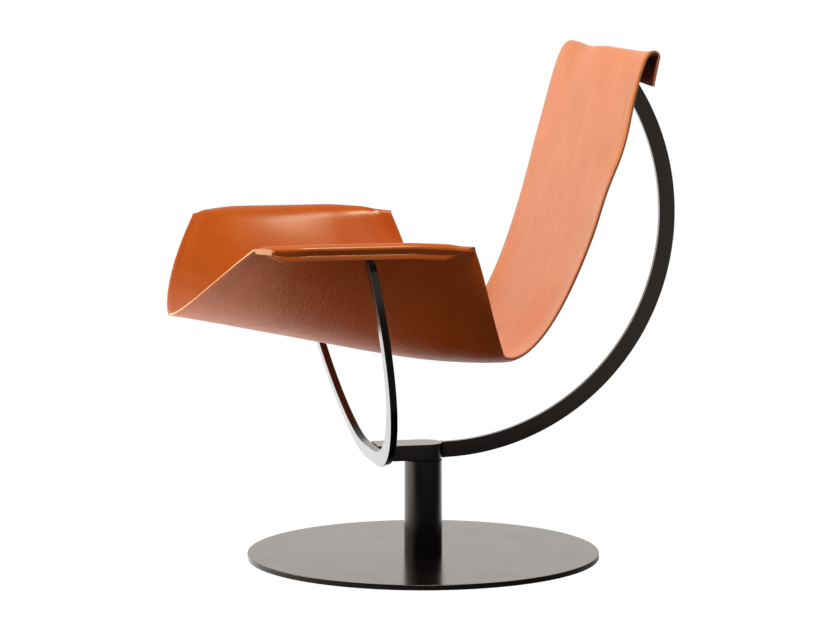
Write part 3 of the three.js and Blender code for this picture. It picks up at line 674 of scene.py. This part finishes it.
def make_front_hoop():
    turn = hoop_frame.to_3x3()
    sideways = turn @ Vector((0, 1, 0))
    shoulder = (SHOULDER_HEIGHT - hoop_centre_z) / math.cos(HOOP_LEAN)
    tongue_top = (ROD_HEIGHT - hoop_centre_z) / math.cos(HOOP_LEAN)
    half_depth = BAR_THICKNESS / 2

    def station(x, z, out_x, out_z, half_width):
        middle = hoop_frame @ Vector((x, half_depth, z))
        return middle, turn @ Vector((out_x, 0, out_z)), sideways, half_width, half_depth

    def tongue(side):
        half_width = TONGUE_WIDTH / 2
        return [station(side * rod_x, tongue_top, side, 0, half_width),
                station(side * rod_x, shoulder, side, 0, half_width)]

    stations = tongue(-1)
    for x, z, radius, start, end, steps in hoop_arcs(math.asin(shoulder / HOOP_RADIUS)):
        for step in range(steps + 1):
            angle = mix(start, end, step / steps)
            out_x, out_z = math.cos(angle), math.sin(angle)
            middle = radius - BAR_WIDTH / 2
            stations.append(station(x + middle * out_x, z + middle * out_z, out_x, out_z, BAR_WIDTH / 2))
    for place, half_width in enumerate(SHOULDER_HALF_WIDTHS):
        for end in (2 + place, -1 - place):
            middle, outward = stations[end][:2]
            stations[end] = (middle, outward, sideways, half_width, half_depth)
    stations += reversed(tongue(1))
    piece = make_piece("leaning_hoop", *sweep(stations), "seat", [black_paint])
    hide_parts("front_hoop")


def make_rear_arc():
    sideways = Vector((-1, 0, 0))
    start = math.asin((column_radius - ARC_SPRING_Y - ARC_ROOT_SINK) / ARC_RADIUS) - math.pi / 2
    flare_turn = ARC_ROOT_LENGTH / ARC_RADIUS
    full_end = ARC_TIP_ANGLE - ARC_TIP_TAPER
    angles = [start + flare_turn * step / ARC_ROOT_STEPS for step in range(ARC_ROOT_STEPS)]
    angles += [mix(start + flare_turn, full_end, step / ARC_STEPS) for step in range(ARC_STEPS + 1)]
    angles.append(ARC_TIP_ANGLE)
    stations = []
    for angle in angles:
        outward = Vector((0, math.cos(angle), math.sin(angle)))
        flare = clamp(1 - (angle - start) / flare_turn) ** 2
        taper = clamp((angle - full_end) / ARC_TIP_TAPER)
        width = mix(BAR_WIDTH, ARC_TIP_WIDTH, taper)
        middle = arc_centre + outward * (ARC_RADIUS - width / 2)
        half_depth = BAR_THICKNESS / 2 + ARC_ROOT_FLARE * flare
        stations.append((middle, outward, sideways, width / 2, half_depth))
    piece = make_piece("rear_bow", *sweep(stations), "seat", [black_paint])
    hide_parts("rear_arc")


# Leather sling
wrap_radius = ROD_RADIUS + SLEEVE_GAP + LEATHER / 2
arc_outward = Vector((0, math.cos(ARC_TIP_ANGLE), math.sin(ARC_TIP_ANGLE)))
crossbar_axis = (arc_centre + arc_outward * (ARC_RADIUS - CROSSBAR_INSET)).yz
back_wrap_radius = CROSSBAR_RADIUS + LEATHER_GAP + LEATHER / 2
sleeve_front = ROD_MIDDLE_Y - ROD_LENGTH / 2 - LEATHER / 2
sleeve_rear = ROD_MIDDLE_Y + ROD_LENGTH / 2 + LEATHER / 2


def strip_shares():
    """Shares of the half width. The first step is half the width of the slot in the flap."""
    slot_share = FLAP_SLOT_HALF_WIDTH / BACK_TOP_HALF_WIDTH
    return [0] + [mix(slot_share, 1, step / (NOTCH_STEPS - 1)) for step in range(NOTCH_STEPS)]


def seat_spine(along):
    pull = Vector(LIP) + Vector(LIP_PULL)
    rear_pull = Vector(SEAT_REAR) + Vector(SEAT_REAR_PULL)
    return bezier(LIP, pull, rear_pull, SEAT_REAR, along)[0]


def tube_profile(top_angle, radius):
    """The sleeve over the rod as (x, z): its sloping top, an outer ridge, the valley below and the hem."""
    share = radius / wrap_radius
    halves = WRAP_STEPS // 2
    ridge = Vector(RIDGE_CENTRE) * share
    ridge_points = []
    for step in range(halves):
        angle = mix(RIDGE_START_ANGLE, RIDGE_END_ANGLE, step / (halves - 1))
        ridge_points.append(ridge + Vector((math.cos(angle), math.sin(angle))) * RIDGE_RADIUS * share)
    top = Vector((-math.sin(top_angle), math.cos(top_angle))) * radius
    top_way = Vector((math.cos(top_angle), math.sin(top_angle)))
    ridge_way = Vector((math.sin(RIDGE_START_ANGLE), -math.cos(RIDGE_START_ANGLE)))
    pull = (ridge_points[0] - top).length / 3
    profile = [bezier(top, top + top_way * pull, ridge_points[0] - ridge_way * pull, ridge_points[0],
                      step / (halves + 1))[0] for step in range(1, halves + 1)]
    profile += ridge_points
    under_way = Vector((math.sin(RIDGE_END_ANGLE), -math.cos(RIDGE_END_ANGLE)))
    down = Vector((0, -1))
    valley = Vector(VALLEY) * share
    bulge = Vector(HEM_BULGE) * share
    hem_end = Vector(HEM_END) * share
    stretches = [
        (ridge_points[-1], ridge_points[-1] + under_way * VALLEY_PULL * share,
         valley - down * VALLEY_PULL * share, valley),
        (valley, valley + down * HEM_BULGE_PULL * share, bulge - down * HEM_BULGE_PULL * share, bulge),
        (bulge, bulge + down * HEM_END_PULL * share, mix(bulge, hem_end, HEM_END_SHARE), hem_end),
    ]
    for stretch in stretches:
        profile += [bezier(*stretch, step / HEM_STEPS)[0] for step in range(1, HEM_STEPS + 1)]
    return profile


def flat_profile(wall_angle, radius, flange, flap, tilt):
    """The sleeve pressed flat at its end: a flange and the flap folded back under it."""
    thirds = WRAP_STEPS // 3
    start = Vector((-math.sin(wall_angle), math.cos(wall_angle))) * radius
    bend_centre = start + Vector((math.sin(wall_angle), -math.cos(wall_angle))) * FLANGE_BEND_RADIUS
    profile = []
    for step in range(1, thirds + 1):
        angle = mix(wall_angle, tilt, step / thirds)
        profile.append(bend_centre + Vector((-math.sin(angle), math.cos(angle))) * FLANGE_BEND_RADIUS)
    way = Vector((math.cos(tilt), math.sin(tilt)))
    below = Vector((math.sin(tilt), -math.cos(tilt)))
    bend_end = profile[-1]
    run = (flange - FLANGE_FOLD_RADIUS - bend_end.x) / way.x
    for step in range(1, thirds + 1):
        profile.append(bend_end + way * run * step / thirds)
    fold_centre = profile[-1] + below * FLANGE_FOLD_RADIUS
    for step in range(1, thirds + 1):
        turn = math.pi * step / thirds
        profile.append(fold_centre + (way * math.sin(turn) - below * math.cos(turn)) * FLANGE_FOLD_RADIUS)
    fold_end = profile[-1]
    for step in range(1, 3 * HEM_STEPS + 1):
        profile.append(fold_end - way * flap * step / (3 * HEM_STEPS))
    return profile


def sleeve_profile(wall_angle, top_angle, radius, front_pinch, rear_pinch, flat):
    """The sleeve as (x, z, shift along y), pressed flat towards its two ends, where it is cut at a slant."""
    tube = tube_profile(top_angle, radius)
    if front_pinch:
        flange, flap, tilt, cut_back = FRONT_FLANGE, FRONT_FLAP, FRONT_FLANGE_TILT, FRONT_CUT_BACK
        hem_flat = ease(front_pinch, *FRONT_HEM_PRESS)
    else:
        flange, flap, tilt, cut_back = REAR_FLANGE, REAR_FLAP, REAR_FLANGE_TILT, REAR_CUT_BACK
        hem_flat = ease(rear_pinch, *REAR_HEM_PRESS)
    pinch = max(front_pinch, rear_pinch)
    pressed = flat_profile(wall_angle, radius, flange, flap, tilt)
    profile = []
    for step, (round_point, flat_point) in enumerate(zip(tube, pressed)):
        down_hem = clamp((step - WRAP_STEPS) / (3 * HEM_STEPS))
        point = mix(round_point, flat_point, mix(flat, hem_flat, down_hem))
        shift = cut_back * pinch * max(0, point.x) / flange
        profile.append((point.x, point.y, shift))
    return profile


def seat_section(arm_y):
    """One half section of the seat, from its middle line up the wall, over the arm rod and down the hem."""
    along = (arm_y - ARM_FRONT_Y) / (ARM_REAR_Y - ARM_FRONT_Y)
    front_pinch = max(0, (sleeve_front - arm_y) / (sleeve_front - ARM_FRONT_Y))
    rear_pinch = max(0, (arm_y - sleeve_rear) / (ARM_REAR_Y - sleeve_rear))
    flat = max(ease(front_pinch, *FRONT_PRESS), ease(rear_pinch, *REAR_PRESS))
    rear_curl = ARM_REAR_CURL * rear_pinch ** 2
    curl = ARM_FRONT_CURL * front_pinch ** 2 * (2 - front_pinch) + rear_curl
    wall_curl = WALL_FRONT_CURL * ease(arm_y, WALL_CURL_START_Y, ARM_FRONT_Y) + rear_curl
    centre_x = rod_x - curl
    front_drop = ARM_FRONT_DROP * front_pinch ** ARM_DROP_POWER
    rear_drop = ARM_REAR_DROP * rear_pinch ** ARM_DROP_POWER
    centre_z = ROD_HEIGHT - front_drop - rear_drop
    radius = mix(wrap_radius, PINCHED_WRAP_RADIUS, flat)
    wall_angle = mix(WALL_ANGLE_FRONT, WALL_ANGLE_REAR, along ** WALL_ANGLE_POWER)
    top_angle = mix(SHOULDER_END_ANGLE, wall_angle, flat)
    full_radius = mix(SHOULDER_RADIUS_FRONT, SHOULDER_RADIUS_REAR, along)
    shoulder_radius = mix(full_radius, radius, ease(max(front_pinch, rear_pinch), 0, 1))
    shoulder_x = centre_x + (shoulder_radius - radius) * math.sin(top_angle)
    shoulder_z = centre_z - (shoulder_radius - radius) * math.cos(top_angle)

    def shoulder_point(angle):
        return Vector((shoulder_x - shoulder_radius * math.sin(angle), arm_y,
                       shoulder_z + shoulder_radius * math.cos(angle)))

    wall_top = shoulder_point(wall_angle)
    middle = seat_spine(along)
    end_run = wall_top.x - (CURL_TOP_POWER - 1) * curl + (CURL_TOP_POWER - 2) * wall_curl
    steepness = math.tan(wall_angle) * end_run / (wall_top.z - middle.y)

    def wall_point(across):
        rise = across ** steepness
        front_bulge = BULGE_SCALE_FRONT * WALL_BULGE_FRONT
        rear_bulge = BULGE_SCALE_REAR * WALL_BULGE_REAR * (1 - rise)
        bulge = rise * (1 - rise) * mix(front_bulge, rear_bulge, along)
        near_top = across ** CURL_TOP_POWER
        inward = curl * near_top + wall_curl * (across ** 2 - near_top)
        return Vector((across * (wall_top.x + curl) - inward, mix(middle.x, arm_y, rise) - bulge,
                       mix(middle.y, wall_top.z, rise)))

    points = [wall_point(NOTCH_SHARE * share) for share in strip_shares()]
    wing = [wall_point(mix(NOTCH_SHARE, 1, step / (2 * WING_STEPS))) for step in range(2 * WING_STEPS + 1)]
    if top_angle < wall_angle:
        wing += [shoulder_point(mix(wall_angle, top_angle, step / WING_STEPS))
                 for step in range(1, WING_STEPS + 1)]
    points += even_points(wing, WING_STEPS)
    for x, z, shift in sleeve_profile(wall_angle, top_angle, radius, front_pinch, rear_pinch, flat):
        points.append(Vector((centre_x + x, arm_y + shift, centre_z + z)))
    return points


def seat_row_places():
    places = [mix(ARM_FRONT_Y, sleeve_front, row / PINCH_ROWS) for row in range(PINCH_ROWS)]
    places += [mix(sleeve_front, sleeve_rear, row / SLEEVE_ROWS) for row in range(SLEEVE_ROWS)]
    places += [mix(sleeve_rear, ARM_REAR_Y, row / PINCH_ROWS) for row in range(PINCH_ROWS + 1)]
    return places


def back_profile():
    """The back's side profile from the seat to the flap's end, as (y, z) points with their directions."""
    brow = crossbar_axis + Vector(BROW_SHIFT)
    crest = crossbar_axis + Vector((0, back_wrap_radius))
    lean = Vector(BACK_LEAN)
    start = Vector(SEAT_REAR)
    profile = []
    for step in range(1, BACK_ROWS + 1):
        profile.append(bezier(start, start + Vector(BACK_START_PULL), brow - lean * BACK_END_PULL, brow,
                              step / BACK_ROWS))
    for step in range(1, BROW_ROWS + 1):
        profile.append(bezier(brow, brow + lean * BROW_PULL, crest - Vector((CREST_PULL, 0)), crest,
                              step / BROW_ROWS))
    for step in range(1, FOLD_ROWS + 1):
        angle = mix(math.pi / 2, FLAP_END_ANGLE, step / FOLD_ROWS)
        place = crossbar_axis + Vector((math.cos(angle), math.sin(angle))) * back_wrap_radius
        profile.append((place, Vector((math.sin(angle), -math.cos(angle)))))
    flap_top, flap_way = profile[-1]
    for step in range(1, FLAP_ROWS + 1):
        profile.append((flap_top + flap_way * FLAP_LENGTH * step / FLAP_ROWS, flap_way))
    return profile


def back_section(rear_section, index, place, way):
    """One half row of the back. The seat's hollow fades out as the back climbs."""
    middle = rear_section[0]
    climb = min(1, (index + 1) / BACK_ROWS)
    flatten = (1 - climb) ** 2
    flared = rear_section[-1].x + BACK_FLARE * climb * mix(BACK_FLARE_START, 1, climb)
    crest = clamp((index + 1 - BACK_ROWS) / BROW_ROWS)
    half_width = mix(min(BACK_HALF_WIDTH, flared), BACK_TOP_HALF_WIDTH, crest)
    row = []
    for share, point in zip(strip_shares(), rear_section):
        along = (point.y - middle.y) * flatten
        up = (point.z - middle.z) * flatten
        row.append(Vector((half_width * share,
                           place.x + along * way.x - up * way.y,
                           place.y + along * way.y + up * way.x)))
    return row


def crest_lift(share):
    """How far the top of the back stands above or below its straight line, from one side to the other."""
    dip = CREST_DIP * math.exp(-((share - CREST_DIP_SHARE) / CREST_DIP_WIDTH) ** 2)
    corner = max(0, (share - CREST_CORNER_START) / (1 - CREST_CORNER_START))
    return CREST_SLACK + dip + CREST_CORNER_LIFT * corner ** CREST_CORNER_POWER


def relax_back(row, index):
    """Moves one row of the back by the unevenness of the real leather."""
    rows_above_flap = BACK_ROWS + BROW_ROWS + FOLD_ROWS
    near_crest = clamp(((index + 1) / BACK_ROWS - CREST_EFFECT_START) / (1 - CREST_EFFECT_START))
    down_flap = clamp((index + 1 - rows_above_flap) / FLAP_ROWS)
    width = row[-1].x
    for point in row:
        share = point.x / width
        for height, spread, shift in EDGE_RIPPLES:
            swell = math.exp(-((point.z - height) / spread) ** 2)
            point.y += shift * swell * max(0, share) ** RIPPLE_POWER
        point.z += crest_lift(share) * near_crest ** 2
        corner = clamp((abs(share) - FLAP_CORNER_START) / (1 - FLAP_CORNER_START)) ** FLAP_CORNER_POWER
        shortening = (FLAP_LENGTH - FLAP_MIDDLE_LENGTH) * (1 - corner)
        point.z += shortening * down_flap


def mirrored(half):
    """A whole row from its half on the sitter's left."""
    return [Vector((-point.x, point.y, point.z)) for point in reversed(half[1:])] + half


def sling_surface():
    """The leather's middle surface as points and quads, its raw rim and the first quad of the top fold."""
    points = []
    quads = []

    def add_row(half):
        first = len(points)
        points.extend(mirrored(half))
        return list(range(first, len(points)))

    def add_quads(row, after, left_open=False):
        middle = len(row) // 2
        for column in range(len(row) - 1):
            if left_open and column in (middle - 1, middle):
                continue
            quads.append([row[column], row[column + 1], after[column + 1], after[column]])

    sections = [seat_section(place) for place in seat_row_places()]
    rows = [add_row(section) for section in sections]
    for row, after in zip(rows, rows[1:]):
        add_quads(row, after)

    rear_section = sections[-1][:NOTCH_STEPS + 1]
    middle = len(rows[-1]) // 2
    row = rows[-1][middle - NOTCH_STEPS:middle + NOTCH_STEPS + 1]
    fold_start = BACK_ROWS + BROW_ROWS // 2
    slot_start = BACK_ROWS + BROW_ROWS + FOLD_ROWS // 2
    for index, (place, way) in enumerate(back_profile()):
        after = add_row(back_section(rear_section, index, place, way))
        relax_back(points[after[0]:], index)
        if index == fold_start:
            fold_quads = len(quads)
        add_quads(row, after, left_open=index >= slot_start)
        row = after
    # Only the front edge on the sitter's left and the start of its hem get the light raw finish. The other
    # cut edges get the dark burnished finish, which on the far front edge is painted shade in place of the
    # raw finish
    raw_rim = set(rows[0][len(rows[0]) // 2:])
    raw_rim.update(seat_row[-1] for seat_row in rows[:RAW_HEM_ROWS])
    return points, quads, raw_rim, fold_quads


def thick_leather(points, quads, raw_rim, fold_quads):
    """A closed sheet with rounded cut edges.

    Face slots: 0 upper face, 1 lower face, 2 raw cut edge, 3 burnished cut edge, which is painted shade on
    the far front edge, 4 inside of the top fold, painted dark as shade.
    """
    normals = [Vector() for _ in points]
    for quad in quads:
        a, b, c, d = (points[index] for index in quad)
        for index in quad:
            normals[index] += (c - a).cross(d - b)
    for normal in normals:
        normal.normalize()
    sides = {(quad[side], quad[(side + 1) % 4]) for quad in quads for side in range(4)}
    rim = sorted(side for side in sides if side[::-1] not in sides)
    outward = {}
    for start, end in rim:
        way = (points[end] - points[start]).cross(normals[start]).normalized()
        for index in (start, end):
            outward[index] = outward.get(index, Vector()) + way

    used = sorted({index for quad in quads for index in quad})
    upper = {index: place for place, index in enumerate(used)}
    lower = {index: len(used) + place for place, index in enumerate(used)}
    half = LEATHER / 2
    shape = [points[index] + normals[index] * half for index in used]
    shape += [points[index] - normals[index] * half for index in used]
    rim_upper = {}
    rim_lower = {}
    for index, way in outward.items():
        edge = points[index] + way.normalized() * CUT_EDGE_ROUNDING
        lift = normals[index] * (half - CUT_EDGE_ROUNDING)
        rim_upper[index] = len(shape)
        rim_lower[index] = len(shape) + 1
        shape += [edge + lift, edge - lift]

    faces = []
    slots = []
    for place, quad in enumerate(quads):
        faces.append([upper[index] for index in quad])
        faces.append([lower[index] for index in reversed(quad)])
        slots += [0, 4 if place >= fold_quads else 1]
    for start, end in rim:
        rings = [upper, rim_upper, rim_lower, lower]
        rim_slot = 2 if start in raw_rim and end in raw_rim else 3
        for near, far in zip(rings, rings[1:]):
            faces.append([near[end], near[start], far[start], far[end]])
            slots.append(rim_slot)
    return shape, faces, slots


def make_sling():
    shape, faces, slots = thick_leather(*sling_surface())
    finishes = [inner_leather, outer_leather, raw_edge, burnished_edge_and_shade, painted_shade_leather]
    piece = make_piece("leather_sheet", shape, faces, "seat", finishes, slots, even_shading=False)
    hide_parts("leather_sling")


make_floor_plate()
make_column()
make_hub()
make_front_hoop()
make_rear_arc()
make_sling()

# Finishes of the solids that stay as they are
CARRIED_OVER = {
    "floor_felt": floor_felt, "column_foot": bare_steel, "upper_bush": black_plastic,
    "lower_bush": black_plastic, "thrust_washer": black_plastic, "spindle": bare_steel,
    "spindle_washer": bare_steel,
    "spindle_circlip": bare_steel, "hoop_grub_screw": bare_steel, "arc_grub_screw": bare_steel,
    "arm_rod_left": black_paint, "arm_rod_right": black_paint, "arm_rod_screw_left": bare_steel,
    "arm_rod_screw_right": bare_steel, "crossbar": black_paint, "crossbar_screw": bare_steel,
    "flap_washer_left": bare_steel, "flap_washer_right": bare_steel, "flap_screw_left": bare_steel,
    "flap_screw_right": bare_steel, "column_screw_1": bare_steel, "column_screw_2": bare_steel,
    "column_screw_3": bare_steel,
}
for node_name, finish in CARRIED_OVER.items():
    materials = nodes[node_name].data.materials
    materials.clear()
    materials.append(finish)


# Stage, light and camera
def lit_side(tree, way, lit_way, span, dark, lit):
    """A brightness that grows towards one side of the room."""
    facing = add_node(tree, "ShaderNodeVectorMath", {1: lit_way}, operation="DOT_PRODUCT")
    spread = add_node(tree, "ShaderNodeMapRange",
                      {"From Min": span[0], "From Max": span[1], "To Min": dark, "To Max": lit},
                      interpolation_type="SMOOTHSTEP")
    tree.links.new(way, facing.inputs[0])
    tree.links.new(facing.outputs["Value"], spread.inputs["Value"])
    return spread.outputs["Result"]


def unless_seen(tree, brightness, seen_brightness):
    """The brightness for light that falls on the chair, and another one for what the camera sees directly."""
    path = add_node(tree, "ShaderNodeLightPath")
    choice = add_node(tree, "ShaderNodeMix", {"B": seen_brightness}, data_type="FLOAT")
    tree.links.new(path.outputs["Is Camera Ray"], choice.inputs["Factor"])
    tree.links.new(brightness, choice.inputs["A"])
    return choice.outputs["Result"]


def make_floor():
    reach = FLOOR_HALF_SIZE * MM
    mesh = bpy.data.meshes.new("pale_floor")
    mesh.from_pydata([(-reach, -reach, 0), (reach, -reach, 0), (reach, reach, 0), (-reach, reach, 0)],
                     [], [[0, 1, 2, 3]])
    material = bpy.data.materials.new("pale_floor")
    material.use_nodes = True
    tree = material.node_tree
    shader = tree.nodes["Principled BSDF"]
    shader.inputs["Base Color"].default_value = FLOOR_COLOUR
    shader.inputs["Roughness"].default_value = FLOOR_ROUGHNESS
    shader.inputs["Specular IOR Level"].default_value = 0
    shader.inputs["Emission Color"].default_value = PLAIN
    place = add_node(tree, "ShaderNodeTexCoord").outputs["Object"]
    near = lit_side(tree, place, FLOOR_LIT_WAY, FLOOR_LIT_SPAN, FLOOR_DARK, FLOOR_LIT)
    far = lit_side(tree, place, FLOOR_LIT_WAY, FLOOR_FAR_SPAN, 0, FLOOR_FAR)
    glow = add_node(tree, "ShaderNodeMath", operation="ADD")
    tree.links.new(near, glow.inputs[0])
    tree.links.new(far, glow.inputs[1])
    tree.links.new(unless_seen(tree, glow.outputs["Value"], FLOOR_SEEN), shader.inputs["Emission Strength"])
    mesh.materials.append(material)
    floor = bpy.data.objects.new("pale_floor", mesh)
    bpy.context.scene.collection.objects.link(floor)


def add_soft_light(name, size, power, place, turn):
    light = bpy.data.lights.new(name, "AREA")
    light.shape = "RECTANGLE"
    light.size, light.size_y = size
    light.energy = power
    box = bpy.data.objects.new(name, light)
    box.location = place
    box.rotation_euler = turn
    bpy.context.scene.collection.objects.link(box)


def make_front_light():
    """A soft light in front of the chair that looks at its middle."""
    level = math.cos(FRONT_LIGHT_ELEVATION)
    back = Vector((math.sin(FRONT_LIGHT_AZIMUTH) * level, -math.cos(FRONT_LIGHT_AZIMUTH) * level,
                   math.sin(FRONT_LIGHT_ELEVATION)))
    place = Vector((0, 0, TARGET_HEIGHT * MM)) + back * FRONT_LIGHT_DISTANCE
    turn = (-back).to_track_quat("-Z", "Y").to_euler()
    add_soft_light("front_softbox", FRONT_LIGHT_SIZE, FRONT_LIGHT_POWER, place, turn)


def make_top_light():
    """A long soft light high above the sitter's left, tipped towards the chair."""
    add_soft_light("top_softbox", TOP_LIGHT_SIZE, TOP_LIGHT_POWER, TOP_LIGHT_PLACE, (0, TOP_LIGHT_TIP, 0))


def make_world():
    """A studio that is light on the far side of the chair and in front of it, and dark behind the camera."""
    world = bpy.data.worlds.new("white_studio")
    world.use_nodes = True
    tree = world.node_tree
    background = tree.nodes["Background"]
    background.inputs["Color"].default_value = ROOM_COLOUR
    way = add_node(tree, "ShaderNodeTexCoord").outputs["Generated"]
    side = lit_side(tree, way, ROOM_LIT_WAY, ROOM_LIT_SPAN, ROOM_DARK, ROOM_LIT)
    height = add_node(tree, "ShaderNodeSeparateXYZ")
    ceiling = add_node(tree, "ShaderNodeMapRange",
                       {"From Min": CEILING_SPAN[0], "From Max": CEILING_SPAN[1], "To Min": 1,
                        "To Max": CEILING_SHARE},
                       interpolation_type="SMOOTHSTEP")
    glow = add_node(tree, "ShaderNodeMath", operation="MULTIPLY")
    tree.links.new(way, height.inputs["Vector"])
    tree.links.new(height.outputs["Z"], ceiling.inputs["Value"])
    tree.links.new(side, glow.inputs[0])
    tree.links.new(ceiling.outputs["Result"], glow.inputs[1])
    tree.links.new(unless_seen(tree, glow.outputs["Value"], ROOM_SEEN), background.inputs["Strength"])
    bpy.context.scene.world = world


def make_camera():
    camera = bpy.data.cameras.new("photo_camera")
    camera.sensor_width = SENSOR_WIDTH
    camera.lens = FOCAL_PIXELS / IMAGE_WIDTH * SENSOR_WIDTH
    camera.clip_end = CAMERA_REACH
    back = Vector((
        math.sin(CAMERA_YAW) * math.cos(CAMERA_PITCH),
        -math.cos(CAMERA_YAW) * math.cos(CAMERA_PITCH),
        math.sin(CAMERA_PITCH),
    ))
    right = Vector((math.cos(CAMERA_YAW), math.sin(CAMERA_YAW), 0))
    target = Vector((0, 0, TARGET_HEIGHT)) + right * TARGET_SHIFT
    eye = bpy.data.objects.new("photo_camera", camera)
    eye.location = (target + back * CAMERA_DISTANCE) * MM
    eye.rotation_euler = (-back).to_track_quat("-Z", "Y").to_euler()
    bpy.context.scene.collection.objects.link(eye)
    bpy.context.scene.camera = eye


make_floor()
make_front_light()
make_top_light()
bpy.context.scene.view_settings.view_transform = "Standard"
make_world()
make_camera()
